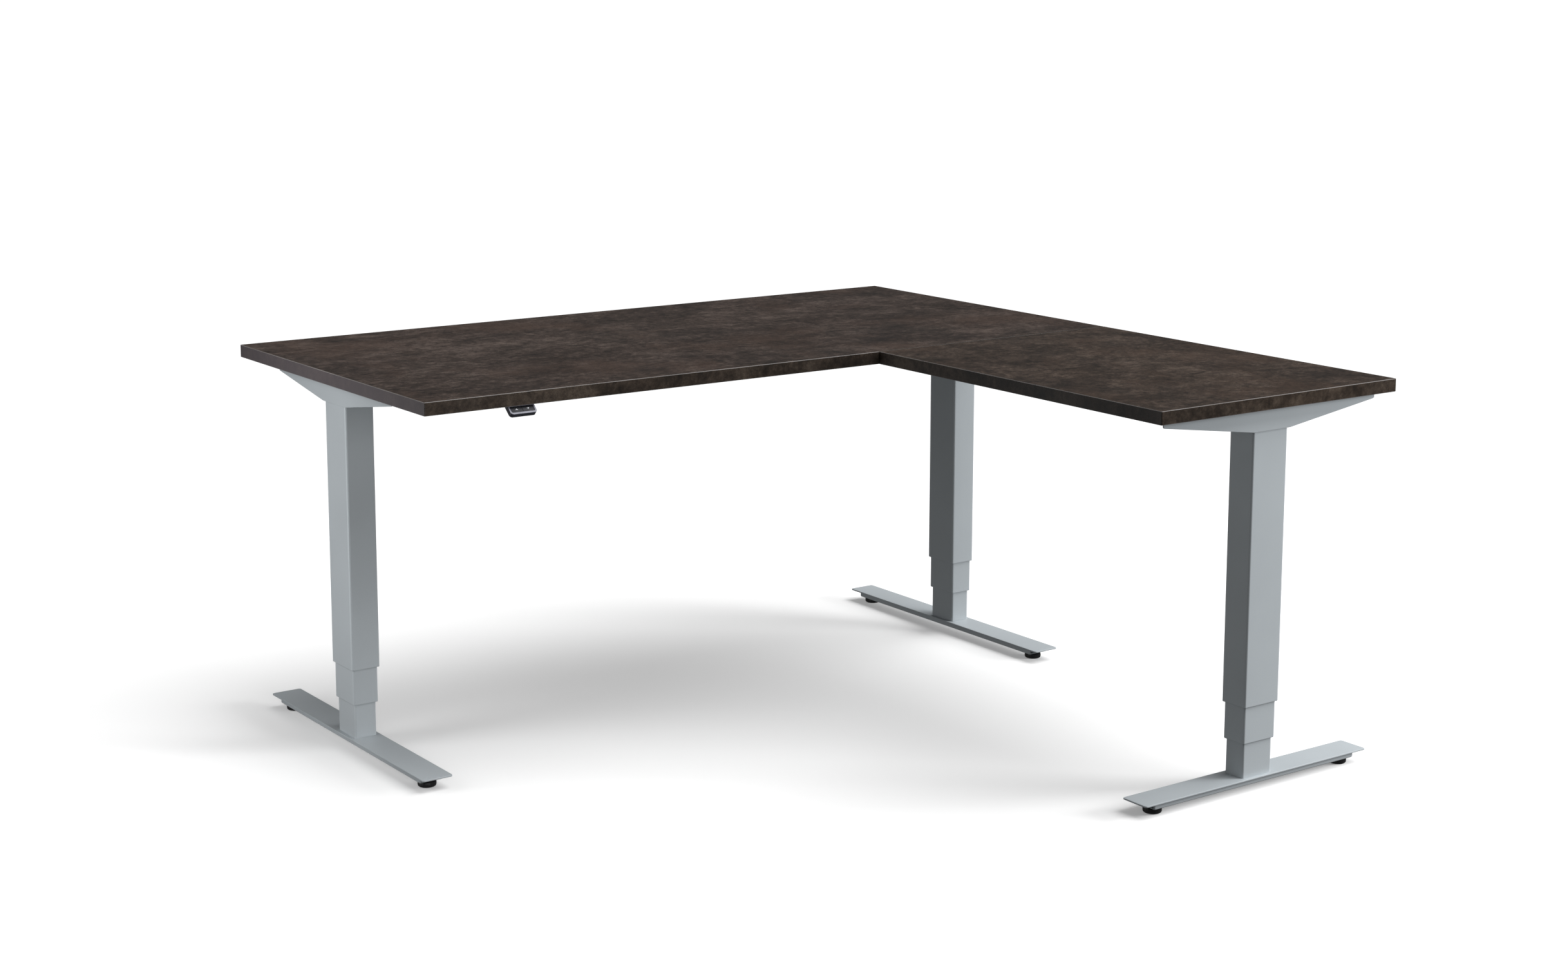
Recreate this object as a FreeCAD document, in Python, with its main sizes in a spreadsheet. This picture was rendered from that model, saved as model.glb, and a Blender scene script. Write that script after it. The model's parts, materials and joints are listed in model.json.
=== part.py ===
import FreeCAD, Part
import os
import re
from math import cos, radians, sin
import Sketcher
from FreeCAD import Placement, Rotation, Vector

# L-shaped height adjustable desk: two tops on three electric columns.
# Frame: +X to the right along the main top, +Y to the back, +Z up.
# Origin: on the floor, under the middle of the desk's bounding box.
# The front edge of the main top is at Y = 0, and the return top reaches from there to the front.

SIZES = {
    # tops
    "main_width": 1600,
    "main_depth": 800,
    "return_width": 600,
    "return_length": 800,
    "board_thick": 25,
    "edging_thick": 2,
    "edging_round": 1.2,
    "edging_corner": 2,
    "seam_gap": 0.3,
    # heights, counted from the floor up
    "foot_height": 27,
    "inner_shown": 67,
    "middle_shown": 70,
    "outer_length": 555.5,
    # places of the three columns
    "side_inset": 60,
    "main_leg_y": 430,
    "return_leg_inset": 58,
    # column tubes, the long side of each lies along its foot
    "outer_long": 88,
    "outer_wide": 59,
    "middle_long": 81,
    "middle_wide": 52,
    "inner_long": 74,
    "inner_wide": 45,
    "tube_wall": 1.5,
    "tube_corner": 4,
    "middle_length": 520,
    "inner_length": 490,
    "lip_round": 1.2,
    # plastic collars that fill the gaps between the tubes
    "collar_height": 34,
    "collar_gap": 0.2,
    "collar_recess": 1,
    # everything screwed to the underside of the tops is this thick under the screw heads
    "fixing_thick": 2.5,
    # brackets under the tops
    "bracket_deep": 44,
    "bracket_end_deep": 12.5,
    "bracket_flat": 92,
    "bracket_gap": 0.2,
    "bracket_bend": 2,
    "bracket_tip_round": 4,
    "bracket_setback": 12,
    "inner_wall_setback": 72,
    "main_bracket_long": 490,
    "return_bracket_long": 540,
    "inner_screw_y": 95,
    "outer_screw_inset": 30,
    # feet
    "foot_wide": 62,
    "main_foot_long": 670,
    "return_foot_long": 574,
    "plate_thick": 3,
    "plate_corner": 5,
    "plate_edge_round": 0.7,
    "channel_wide": 48,
    "channel_drop": 11.6,
    "channel_sheet": 2.5,
    "channel_bend": 3,
    "channel_end_round": 4,
    "channel_setback": 27,
    # levelling glides
    "glide_setback": 45,
    "glide_radius": 17.5,
    "glide_gap": 0.3,
    "glide_round": 2.5,
    "stud_radius": 4,
    "stud_length": 11.3,
    "stud_clearance": 0.08,
    "nut_radius": 6.5,
    "nut_thick": 6.5,
    # drive inside each column
    "gearbox_deep": 45,
    "gearbox_long": 70,
    "gearbox_wide": 52,
    "spindle_radius": 7,
    "spindle_length": 505,
    "spindle_recess": 10,
    "hollow_radius": 12,
    "hollow_bore": 7.8,
    "hollow_length": 472,
    "head_radius": 14,
    "head_thick": 12,
    "head_play": 3,
    "head_gap": 0.3,
    "running_gap": 0.08,
    "thread_part": 17,
    "retainer": 7,
    "lower_nut": 27,
    "motor_radius": 25,
    "motor_length": 92,
    "motor_drop": 26,
    "motor_start": 34,
    "motor_round": 3,
    "boss_radius": 12,
    "boss_hole": 12.5,
    # crossbeams
    "rail_wide": 40,
    "rail_tall": 30,
    "rail_wall": 2,
    "rail_spread": 75,
    "arm_play": 0.25,
    "arm_overlap": 160,
    "main_sleeve_long": 760,
    "return_sleeve_long": 560,
    # joining plates and screws
    "join_wide": 80,
    "join_long": 120,
    "join_spread": 190,
    "join_screw_x": 25,
    "join_screw_y": 40,
    "screw_radius": 2.5,
    "screw_hole": 2.6,
    "screw_head_radius": 4.8,
    "screw_head_tall": 3,
    "screw_in_board": 13,
    "screw_hole_deep": 14,
    # control box behind the crossbeams
    "box_x": 30,
    "box_y": 590,
    "box_wide": 250,
    "box_long": 100,
    "box_tall": 36,
    "box_wall": 2.5,
    "box_round": 3,
    "ear_long": 14,
    "port_wide": 14,
    "port_tall": 11,
    "port_deep": 10,
    "port_shell": 1.5,
    "port_height": 18,
    "port_spacing": 30,
    "first_port": -85,
    "inlet_x": 85,
    "inlet_wide": 28,
    "inlet_tall": 20,
    "inlet_deep": 16,
    "inlet_rim": 2.5,
    "inlet_recess": 12,
    "pin_wide": 2,
    "pin_tall": 4,
    "pin_spacing": 7,
    "board_inset": 6,
    "card_thick": 1.6,
    "card_height": 7,
    "post_radius": 3,
    "block_height": 18,
    "supply_wide": 40,
    "supply_long": 30,
    "supply_x": 60,
    "relay_wide": 28,
    "relay_long": 22,
    "relay_x": -10,
    "filter_wide": 34,
    "filter_long": 18,
    "filter_x": -75,
    # handset under the front edge
    "handset_x": -605,
    "handset_wide": 54,
    "handset_face": 20.5,
    "handset_thick": 8,
    "handset_tilt": 41,
    "handset_start": 8,
    "handset_flange_end": 46,
    "handset_screw_x": 20,
    "handset_screw_y": 38,
    "handset_corner": 6,
    "bezel_wide": 3.2,
    "bezel_low": 4.2,
    "bezel_high": 1.2,
    "bezel_thick": 1,
    "bezel_top_gap": 1.5,
    "recess_deep": 4.5,
    "button_gap": 0.4,
    "button_floor_gap": 1.5,
    "button_rise": 0.5,
    "button_round": 0.6,
    "button_corner": 2.2,
}

# heights above the floor of the tops' underside and of the two moving tubes' lower ends
DECK = "(foot_height + inner_shown + middle_shown + outer_length + fixing_thick)"
MIDDLE_BASE = "(foot_height + inner_shown)"
OUTER_BASE = "(foot_height + inner_shown + middle_shown)"
INNER_COLLAR_BASE = "foot_height + inner_length - collar_height - collar_recess"
OUTER_COLLAR_BASE = f"{OUTER_BASE} + collar_recess"
RETURN_X = "(main_width / 2 - return_width / 2)"

# the handset's sloping face, seen from the side, and the recess in it
FACE_RUN = "(handset_face * cos(handset_tilt))"
FACE_RISE = "(handset_face * sin(handset_tilt))"
BEZEL_LONG = "(handset_face - bezel_top_gap)"
RECESS_WIDE = "(handset_wide - 2 * bezel_wide)"
RECESS_LONG = f"({BEZEL_LONG} - bezel_low - bezel_high)"
RECESS_MIDDLE = f"(bezel_low + {RECESS_LONG} / 2)"

doc = FreeCAD.newDocument("standing_desk")
sheet = doc.addObject("Spreadsheet::Sheet", "Sizes")
for row, (alias, number) in enumerate(SIZES.items(), start=1):
    sheet.set(f"A{row}", alias)
    sheet.set(f"B{row}", str(number))
    sheet.setAlias(f"B{row}", alias)
doc.recompute()

nodes = []


def sized(expression):
    """Writes an expression of aliases as one that reads the sheet, leaving function names alone."""
    return re.sub(r"\b[a-z]\w*\b(?!\()", lambda alias: f"Sizes.{alias[0]}", expression)


def place(part, x="0", y="0", z="0", turn=0, tilt=0):
    """Tilts a part about X, turns it about Z and binds its place to the sheet."""
    turned = Rotation(Vector(0, 0, 1), turn).multiply(Rotation(Vector(1, 0, 0), tilt))
    part.Placement = Placement(Vector(), turned)
    for axis, distance in zip("xyz", (x, y, z)):
        part.setExpression(f"Placement.Base.{axis}", sized(distance))


def new_body(label, x="0", y="0", z="0", turn=0, tilt=0):
    """An empty body that becomes the node of this name."""
    body = doc.addObject("PartDesign::Body", label)
    body.Label = label
    body.AllowCompound = True
    place(body, x, y, z, turn, tilt)
    nodes.append(body)
    return body


def sketch_on(body, role, offset="0", tilt=0):
    """A sketch on one of the body's own origin planes, moved along its normal and tilted about X."""
    sketch = body.newObject("Sketcher::SketchObject", "Profile")
    plane = next(item for item in body.Origin.OriginFeatures if item.Role == role)
    sketch.AttachmentSupport = [(plane, "")]
    sketch.MapMode = "FlatFace"
    sketch.AttachmentOffset = Placement(Vector(), Rotation(Vector(1, 0, 0), tilt))
    sketch.setExpression("AttachmentOffset.Base.z", sized(offset))
    return sketch


def fix_point(sketch, element, corner, point):
    """Holds one point of a sketch element at two distances from the sketch's origin."""
    for kind, distance in zip(("DistanceX", "DistanceY"), point):
        number = sketch.addConstraint(Sketcher.Constraint(kind, -1, 1, element, corner, 1.0))
        sketch.setExpression(f"Constraints[{number}]", sized(distance))


def outline(sketch, points):
    """A closed outline of straight lines through the given corners."""
    first = sketch.GeometryCount
    count = len(points)
    for index in range(count):
        start = Vector(index, index * index, 0)
        end = Vector((index + 1) % count, ((index + 1) % count) ** 2, 0)
        sketch.addGeometry(Part.LineSegment(start, end), False)
    for index in range(count):
        following = first + (index + 1) % count
        sketch.addConstraint(Sketcher.Constraint("Coincident", first + index, 2, following, 1))
    for index, point in enumerate(points):
        fix_point(sketch, first + index, 1, point)


def rectangle(sketch, width, depth, x="0", y="0"):
    """A rectangle centred on (x, y)."""
    left, right = f"{x} - ({width}) / 2", f"{x} + ({width}) / 2"
    low, high = f"{y} - ({depth}) / 2", f"{y} + ({depth}) / 2"
    outline(sketch, [(left, low), (right, low), (right, high), (left, high)])


def circle(sketch, radius, x="0", y="0"):
    """A circle centred on (x, y)."""
    element = sketch.addGeometry(Part.Circle(Vector(1, 1, 0), Vector(0, 0, 1), 1), False)
    number = sketch.addConstraint(Sketcher.Constraint("Radius", element, 1.0))
    sketch.setExpression(f"Constraints[{number}]", sized(radius))
    fix_point(sketch, element, 3, (x, y))


def pad(body, sketch, length, midplane=False, reverse=False):
    """Adds material over a sketch."""
    feature = body.newObject("PartDesign::Pad", "Pad")
    feature.Profile = sketch
    feature.setExpression("Length", sized(length))
    feature.Midplane = midplane
    feature.Reversed = reverse
    return feature


def pocket(body, sketch, length, midplane=False, reverse=False):
    """Cuts a sketch out of the body, and stops the script if nothing was cut."""
    doc.recompute()
    before = body.Shape.Volume
    feature = body.newObject("PartDesign::Pocket", "Pocket")
    feature.Profile = sketch
    feature.setExpression("Length", sized(length))
    feature.Midplane = midplane
    feature.Reversed = reverse
    doc.recompute()
    if body.Shape.Volume > before - 0.5:
        raise RuntimeError(f"a pocket of {body.Label} cuts nothing")
    return feature


def runs_along(edge, direction):
    """True for a straight edge parallel to the direction."""
    if edge.Curve.TypeId != "Part::GeomLine":
        return False
    return abs(edge.tangentAt(edge.FirstParameter).dot(direction)) > 0.999


def round_edges(body, radius, wanted):
    """Rounds the edges of the body so far that the test accepts."""
    doc.recompute()
    tip = body.Tip
    names = [f"Edge{number}" for number, edge in enumerate(tip.Shape.Edges, start=1) if wanted(edge)]
    feature = body.newObject("PartDesign::Fillet", "Rounding")
    feature.Base = (tip, names)
    feature.setExpression("Radius", sized(radius))
    return feature


def vertical(edge):
    """True for a straight edge along Z."""
    return runs_along(edge, Vector(0, 0, 1))


def level(edge):
    """True for an edge that lies flat."""
    return edge.BoundBox.ZLength < 0.01


def size_of(alias):
    """The number that the sheet holds for a size."""
    return float(sheet.get(alias))


ALONG_X = Vector(1, 0, 0)
ALONG_Y = Vector(0, 1, 0)

# Each leg is drawn with its foot along Y and then turned and moved to its place.
# inward is the side of the column, along the drawn X, that its motor points to.
LEGS = {
    "left": {
        "x": "side_inset - main_width / 2",
        "y": "main_leg_y",
        "turn": 0,
        "foot": "main_foot_long",
        "bracket": "main_bracket_long",
        "inward": 1,
    },
    "back": {
        "x": "main_width / 2 - side_inset",
        "y": "main_leg_y",
        "turn": 0,
        "foot": "main_foot_long",
        "bracket": "main_bracket_long",
        "inward": -1,
    },
    "right": {
        "x": "main_width / 2 - return_width / 2",
        "y": "return_leg_inset - return_length",
        "turn": -90,
        "foot": "return_foot_long",
        "bracket": "return_bracket_long",
        "inward": -1,
    },
}


def leg_body(name, leg, z="0"):
    """An empty body in a leg's place, with its zero height at z."""
    return new_body(name, leg["x"], leg["y"], z, leg["turn"])


# ---- columns ----


def tube(name, leg, stage, base, length, lip=True):
    """One rectangular tube of a column, with a softened rim at its lower end."""
    body = leg_body(name, leg, base)
    sketch = sketch_on(body, "XY_Plane")
    rectangle(sketch, f"{stage}_wide", f"{stage}_long")
    pad(body, sketch, length)
    round_edges(body, "tube_corner", vertical)
    hollow = sketch_on(body, "XY_Plane")
    rectangle(hollow, f"{stage}_wide - 2 * tube_wall", f"{stage}_long - 2 * tube_wall")
    pocket(body, hollow, length, reverse=True)
    bore_x = size_of(f"{stage}_wide") / 2 - size_of("tube_wall")
    bore_y = size_of(f"{stage}_long") / 2 - size_of("tube_wall")
    round_edges(
        body,
        "tube_corner - tube_wall",
        lambda edge: vertical(edge)
        and abs(abs(edge.BoundBox.Center.x) - bore_x) < 0.01
        and abs(abs(edge.BoundBox.Center.y) - bore_y) < 0.01,
    )
    if lip:
        round_edges(body, "lip_round", lambda edge: at_lip(edge, bore_x, bore_y))
    return body


def at_lip(edge, bore_x, bore_y):
    """True for the edges of a tube's outer outline at its lower end."""
    box = edge.BoundBox
    reach_x = max(-box.XMin, box.XMax)
    reach_y = max(-box.YMin, box.YMax)
    return box.ZMax < 0.01 and (reach_x > bore_x + 0.1 or reach_y > bore_y + 0.1)


def rings(body, sections, corner):
    """Rectangular rings: each section is its outer and inner width and depth, place, foot and height."""
    for outer_x, outer_y, _, _, x, y, low, tall in sections:
        sketch = sketch_on(body, "XY_Plane", low)
        rectangle(sketch, outer_x, outer_y, x, y)
        pad(body, sketch, tall)
    round_edges(body, corner, vertical)
    for _, _, inner_x, inner_y, x, y, low, tall in sections:
        sketch = sketch_on(body, "XY_Plane", low)
        rectangle(sketch, inner_x, inner_y, x, y)
        pocket(body, sketch, tall, reverse=True)


def around(stage, gap="0"):
    """Width and depth just outside a tube."""
    return f"{stage}_wide + 2 * ({gap})", f"{stage}_long + 2 * ({gap})"


def within(stage, gap="0"):
    """Width and depth just inside a tube."""
    return around(stage, f"0 - tube_wall - {gap}")


def turned(leg, pair):
    """Width along X and depth along Y of something that turns with its leg."""
    return pair if leg["turn"] == 0 else pair[::-1]


def collar_group(name, outside, inside, low):
    """One collar at each column, all in one node."""
    body = new_body(name)
    sections = []
    for leg in LEGS.values():
        widths = (*turned(leg, outside), *turned(leg, inside))
        sections.append((*widths, leg["x"], leg["y"], low, "collar_height"))
    rings(body, sections, "tube_corner - tube_wall")


def column(side, leg):
    """The tubes of a column and the collars that move with the middle one."""
    tube(f"{side}_inner_tube", leg, "inner", "foot_height", "inner_length", lip=False)
    tube(f"{side}_middle_tube", leg, "middle", MIDDLE_BASE, "middle_length")
    outer = tube(f"{side}_outer_tube", leg, "outer", OUTER_BASE, "outer_length")
    hole = sketch_on(outer, "YZ_Plane")
    circle(hole, "boss_hole", "0", "outer_length + fixing_thick - motor_drop")
    pocket(outer, hole, "outer_wide", reverse=leg["inward"] > 0)
    collars = leg_body(f"{side}_middle_collars", leg, MIDDLE_BASE)
    upper = (*within("outer", "collar_gap"), *around("middle"), "0", "0")
    lower = (*within("middle"), *around("inner", "collar_gap"), "0", "0")
    upper_low = "middle_length - collar_height - collar_recess"
    sections = [
        (*upper, upper_low, "collar_height"),
        (*lower, "collar_recess", "collar_height"),
    ]
    rings(collars, sections, "tube_corner - tube_wall")


def block_layer(body, stage, low, tall, bore):
    """A slice of a block that fills a tube, with a round hole down its middle."""
    sketch = sketch_on(body, "XY_Plane", low)
    rectangle(sketch, *within(stage, "0.1"))
    circle(sketch, bore)
    pad(body, sketch, tall)


def round_layer(body, low, tall, radius, bore=None):
    """A disc or round ring about the body's Z axis."""
    sketch = sketch_on(body, "XY_Plane", low)
    circle(sketch, radius)
    if bore:
        circle(sketch, bore)
    pad(body, sketch, tall)


def drive(side, leg):
    """Motor, gearbox, the two spindles one inside the other, and the nut that the middle tube hangs on."""
    gearbox = leg_body(f"{side}_gearbox", leg, f"{DECK} - fixing_thick - gearbox_deep")
    sketch = sketch_on(gearbox, "XY_Plane")
    rectangle(sketch, "gearbox_wide", "gearbox_long")
    circle(sketch, "spindle_radius + running_gap")
    pad(gearbox, sketch, "gearbox_deep")
    round_edges(gearbox, "motor_round", vertical)

    toward = leg["inward"]
    motor = leg_body(f"{side}_motor", leg, f"{DECK} - motor_drop")
    boss = sketch_on(motor, "YZ_Plane", f"{toward} * gearbox_wide / 2")
    circle(boss, "boss_radius")
    pad(motor, boss, "motor_start - gearbox_wide / 2", reverse=toward < 0)
    can = sketch_on(motor, "YZ_Plane", f"{toward} * motor_start")
    circle(can, "motor_radius")
    pad(motor, can, "motor_length", reverse=toward < 0)
    can_rim = size_of("motor_radius") * 2 - 0.1
    round_edges(motor, "motor_round", lambda edge: edge.BoundBox.YLength > can_rim and edge.Closed)

    spindle = leg_body(f"{side}_upper_spindle", leg, f"{DECK} - spindle_recess - spindle_length")
    round_layer(spindle, "0", "spindle_length", "spindle_radius")

    block = leg_body(f"{side}_middle_nut", leg, f"{MIDDLE_BASE} + middle_length")
    chamber = "head_thick + 2 * head_play"
    block_layer(block, "middle", "0 - thread_part", "thread_part", "spindle_radius + running_gap")
    block_layer(block, "middle", f"0 - thread_part - ({chamber})", chamber, "head_radius + head_gap")
    retainer_low = f"0 - thread_part - ({chamber}) - retainer"
    block_layer(block, "middle", retainer_low, "retainer", "hollow_radius + running_gap")
    round_edges(block, "tube_corner - tube_wall", vertical)

    hollow_top = f"{MIDDLE_BASE} + middle_length - thread_part - head_play"
    hollow = leg_body(f"{side}_lower_spindle", leg, hollow_top)
    round_layer(hollow, "0 - head_thick", "head_thick", "head_radius", "hollow_bore")
    round_layer(hollow, "0 - hollow_length", "hollow_length - head_thick", "hollow_radius", "hollow_bore")


def lower_nuts():
    """The nut in the top of each inner tube, in which the hollow spindle turns."""
    body = new_body("inner_tube_nuts", z="foot_height + inner_length - lower_nut")
    sketch = sketch_on(body, "XY_Plane")
    for leg in LEGS.values():
        rectangle(sketch, *turned(leg, within("inner", "0.1")), leg["x"], leg["y"])
        circle(sketch, "hollow_radius + running_gap", leg["x"], leg["y"])
    pad(body, sketch, "lower_nut")
    inner_bend = "tube_corner - tube_wall"
    round_edges(body, inner_bend, vertical)


# ---- brackets and feet ----


def bracket(side, leg):
    """A sheet steel channel, open below, with tapered side walls and a shorter inner wall."""
    body = leg_body(f"{side}_bracket", leg, f"{DECK} - bracket_deep")
    half = f"{leg['bracket']} / 2"
    end_low = "bracket_deep - bracket_end_deep"
    wide = "outer_wide + 2 * bracket_gap"
    side_view = sketch_on(body, "YZ_Plane")
    outline(
        side_view,
        [
            (f"0 - {half}", "bracket_deep"),
            (f"0 - {half}", end_low),
            ("0 - bracket_flat / 2", "0"),
            ("bracket_flat / 2", "0"),
            (half, end_low),
            (half, "bracket_deep"),
        ],
    )
    pad(body, side_view, f"{wide} + 2 * fixing_thick", midplane=True)
    long_side = size_of(leg["bracket"]) - 1
    round_edges(body, "bracket_bend", lambda edge: edge.BoundBox.YLength > long_side)
    tip = size_of(leg["bracket"]) / 2 - 0.01
    tip_height = size_of("bracket_deep") - size_of("bracket_end_deep")
    round_edges(
        body,
        "bracket_tip_round",
        lambda edge: runs_along(edge, ALONG_X)
        and abs(edge.BoundBox.Center.y) > tip
        and abs(edge.BoundBox.Center.z - tip_height) < 0.1,
    )
    end_view = sketch_on(body, "XZ_Plane")
    rectangle(end_view, wide, "2 * (bracket_deep - fixing_thick)")
    pocket(body, end_view, leg["bracket"], midplane=True)
    ends = sketch_on(body, "XY_Plane", "bracket_deep")
    inner_ends = sketch_on(body, "XY_Plane", "bracket_deep - fixing_thick")
    inner_wall = f"{leg['inward']} * ({wide} + fixing_thick) / 2"
    for sign in (-1, 1):
        end = f"{sign} * ({half} - bracket_setback / 2)"
        shifted = f"{leg['inward']} * fixing_thick"
        rectangle(ends, f"{wide} + 2 * fixing_thick", "bracket_setback", shifted, end)
        end = f"{sign} * ({half} - inner_wall_setback / 2)"
        rectangle(inner_ends, "2 * fixing_thick", "inner_wall_setback", inner_wall, end)
    pocket(body, ends, "bracket_deep")
    pocket(body, inner_ends, "bracket_deep")
    holes = sketch_on(body, "XY_Plane", "bracket_deep")
    for along in screw_places(leg):
        circle(holes, "screw_hole", "0", along)
    pocket(body, holes, "2 * fixing_thick")
    boss = sketch_on(body, "YZ_Plane")
    circle(boss, "boss_hole", "0", "bracket_deep - motor_drop")
    pocket(body, boss, "outer_wide", reverse=leg["inward"] > 0)


def screw_places(leg):
    """Distances of a bracket's four screws from its column, along the bracket."""
    outermost = f"({leg['bracket']} / 2 - outer_screw_inset)"
    return [f"{sign} * {distance}" for distance in ("inner_screw_y", outermost) for sign in (-1, 1)]


def foot(side, leg):
    """A flat plate with a channel welded below it."""
    plate = leg_body(f"{side}_foot_plate", leg, "foot_height - plate_thick")
    sketch = sketch_on(plate, "XY_Plane")
    rectangle(sketch, "foot_wide", leg["foot"])
    pad(plate, sketch, "plate_thick")
    round_edges(plate, "plate_corner", vertical)
    round_edges(plate, "plate_edge_round", level)

    channel_base = "foot_height - plate_thick - channel_drop"
    channel = leg_body(f"{side}_foot_channel", leg, channel_base)
    length = f"{leg['foot']} - 2 * channel_setback"
    end_view = sketch_on(channel, "XZ_Plane")
    rectangle(end_view, "channel_wide", "channel_drop", "0", "channel_drop / 2")
    pad(channel, end_view, length, midplane=True)
    low = 0.01
    for radius, direction in (("channel_end_round", ALONG_X), ("channel_bend", ALONG_Y)):
        round_edges(
            channel,
            radius,
            lambda edge, along=direction: runs_along(edge, along) and edge.BoundBox.ZMax < low,
        )
    hollow = sketch_on(channel, "XZ_Plane")
    inside = "channel_wide - 2 * channel_sheet"
    rectangle(hollow, inside, "channel_drop", "0", "channel_drop / 2 + channel_sheet")
    pocket(channel, hollow, length, midplane=True)
    holes = sketch_on(channel, "XY_Plane", "channel_sheet")
    for sign in (-1, 1):
        circle(holes, "stud_radius + 0.4", "0", f"{sign} * {glide_place(leg)}")
    pocket(channel, holes, "2 * channel_sheet")


def glide_place(leg):
    """Distance of a foot's glides from its column."""
    return f"({leg['foot']} / 2 - glide_setback)"


def beside(leg, along):
    """Place on the desk of a point on the line through a leg's foot."""
    if leg["turn"] == 0:
        return leg["x"], f"{leg['y']} + {along}"
    return f"{leg['x']} + {along}", leg["y"]


def glide_nuts():
    """The round nut welded over each stud hole."""
    body = new_body("glide_nuts", z="foot_height - plate_thick - channel_drop + channel_sheet")
    sketch = sketch_on(body, "XY_Plane")
    for leg in LEGS.values():
        for sign in (-1, 1):
            place_of_nut = beside(leg, f"{sign} * {glide_place(leg)}")
            circle(sketch, "nut_radius", *place_of_nut)
            circle(sketch, "stud_radius + stud_clearance", *place_of_nut)
    pad(body, sketch, "nut_thick")


def glides(side, leg):
    """The two levelling glides of a foot: a round pad with a threaded stud."""
    ends = ("front", "rear") if leg["turn"] == 0 else ("inner", "outer")
    for end, sign in zip(ends, (-1, 1)):
        x, y = beside(leg, f"{sign} * {glide_place(leg)}")
        body = new_body(f"{side}_leg_{end}_glide", x, y)
        pad_tall = "foot_height - plate_thick - channel_drop - glide_gap"
        round_layer(body, "0", pad_tall, "glide_radius")
        round_edges(body, "glide_round", level)
        round_layer(body, pad_tall, "stud_length", "stud_radius")


# ---- tops ----


def joining_screws():
    """Places of the screws in the joining plates."""
    places = []
    for step in (-1, 0, 1):
        for sign_x in (-1, 1):
            for sign_y in (-1, 1):
                x = f"{RETURN_X} + {step} * join_spread + {sign_x} * join_screw_x"
                places.append((x, f"{sign_y} * join_screw_y"))
    return places


def bracket_screws(leg):
    """Places of the screws in a leg's bracket."""
    return [beside(leg, along) for along in screw_places(leg)]


def box_screws():
    """Places of the screws in the control box's ears."""
    places = []
    for sign_x in (-1, 1):
        for sign_y in (-1, 1):
            x = f"box_x + {sign_x} * (box_wide + ear_long) / 2"
            places.append((x, f"box_y + {sign_y} * box_long / 3"))
    return places


def handset_screws():
    """Places of the screws in the handset's flange."""
    return [(f"handset_x + {sign} * handset_screw_x", "handset_screw_y") for sign in (-1, 1)]


def tops():
    """The two boards with their pilot holes, the edging round both and the plates that join them."""
    in_front = [place_of_screw for place_of_screw in joining_screws() if place_of_screw[1].startswith("-1")]
    behind = [place_of_screw for place_of_screw in joining_screws() if place_of_screw[1].startswith("1")]
    main_screws = behind + bracket_screws(LEGS["left"]) + bracket_screws(LEGS["back"])
    main_screws += box_screws() + handset_screws()
    main = (("main_width", "main_depth"), "0", "main_depth / 2")
    side = (("return_width", "return_length - seam_gap"), RETURN_X, "0 - (return_length + seam_gap) / 2")
    boards = {
        "main_top": (main, main_screws),
        "return_top": (side, in_front + bracket_screws(LEGS["right"])),
    }
    edging = new_body("top_edging", z=DECK)
    for name, (((wide, deep), x, y), screws) in boards.items():
        board = new_body(name, z=DECK)
        sketch = sketch_on(board, "XY_Plane")
        rectangle(sketch, f"{wide} - 2 * edging_thick", f"{deep} - 2 * edging_thick", x, y)
        pad(board, sketch, "board_thick")
        holes = sketch_on(board, "XY_Plane")
        for place_of_screw in screws:
            circle(holes, "screw_hole", *place_of_screw)
        pocket(board, holes, "screw_hole_deep", reverse=True)
        outside = sketch_on(edging, "XY_Plane")
        rectangle(outside, wide, deep, x, y)
        pad(edging, outside, "board_thick")
    round_edges(edging, "edging_corner", vertical)
    round_edges(edging, "edging_round", level)
    for (wide, deep), x, y in (main, side):
        inside = sketch_on(edging, "XY_Plane")
        rectangle(inside, f"{wide} - 2 * edging_thick", f"{deep} - 2 * edging_thick", x, y)
        pocket(edging, inside, "board_thick", reverse=True)

    plates = new_body("joining_plates", z=f"{DECK} - fixing_thick")
    sketch = sketch_on(plates, "XY_Plane")
    for step in (-1, 0, 1):
        rectangle(sketch, "join_wide", "join_long", f"{RETURN_X} + {step} * join_spread", "0")
    pad(plates, sketch, "fixing_thick")
    round_edges(plates, "plate_corner", vertical)
    holes = sketch_on(plates, "XY_Plane")
    for place_of_screw in joining_screws():
        circle(holes, "screw_hole", *place_of_screw)
    pocket(plates, holes, "fixing_thick", reverse=True)


def wood_screws():
    """Every screw that goes up into the tops."""
    body = new_body("wood_screws", z=f"{DECK} - fixing_thick")
    places = joining_screws() + box_screws() + handset_screws()
    for leg in LEGS.values():
        places += bracket_screws(leg)
    heads = sketch_on(body, "XY_Plane")
    shanks = sketch_on(body, "XY_Plane")
    for place_of_screw in places:
        circle(heads, "screw_head_radius", *place_of_screw)
        circle(shanks, "screw_radius", *place_of_screw)
    pad(body, heads, "screw_head_tall", reverse=True)
    pad(body, shanks, "fixing_thick + screw_in_board")


# ---- crossbeams ----


def rail_section(sketch, across, shrink):
    """One or two rectangular tube sections side by side, smaller all round by shrink."""
    for centre in across:
        for less in (shrink, f"{shrink} + rail_wall"):
            wide = f"rail_wide - 2 * ({less})"
            tall = f"rail_tall - 2 * ({less})"
            rectangle(sketch, wide, tall, centre, "0")


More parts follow.
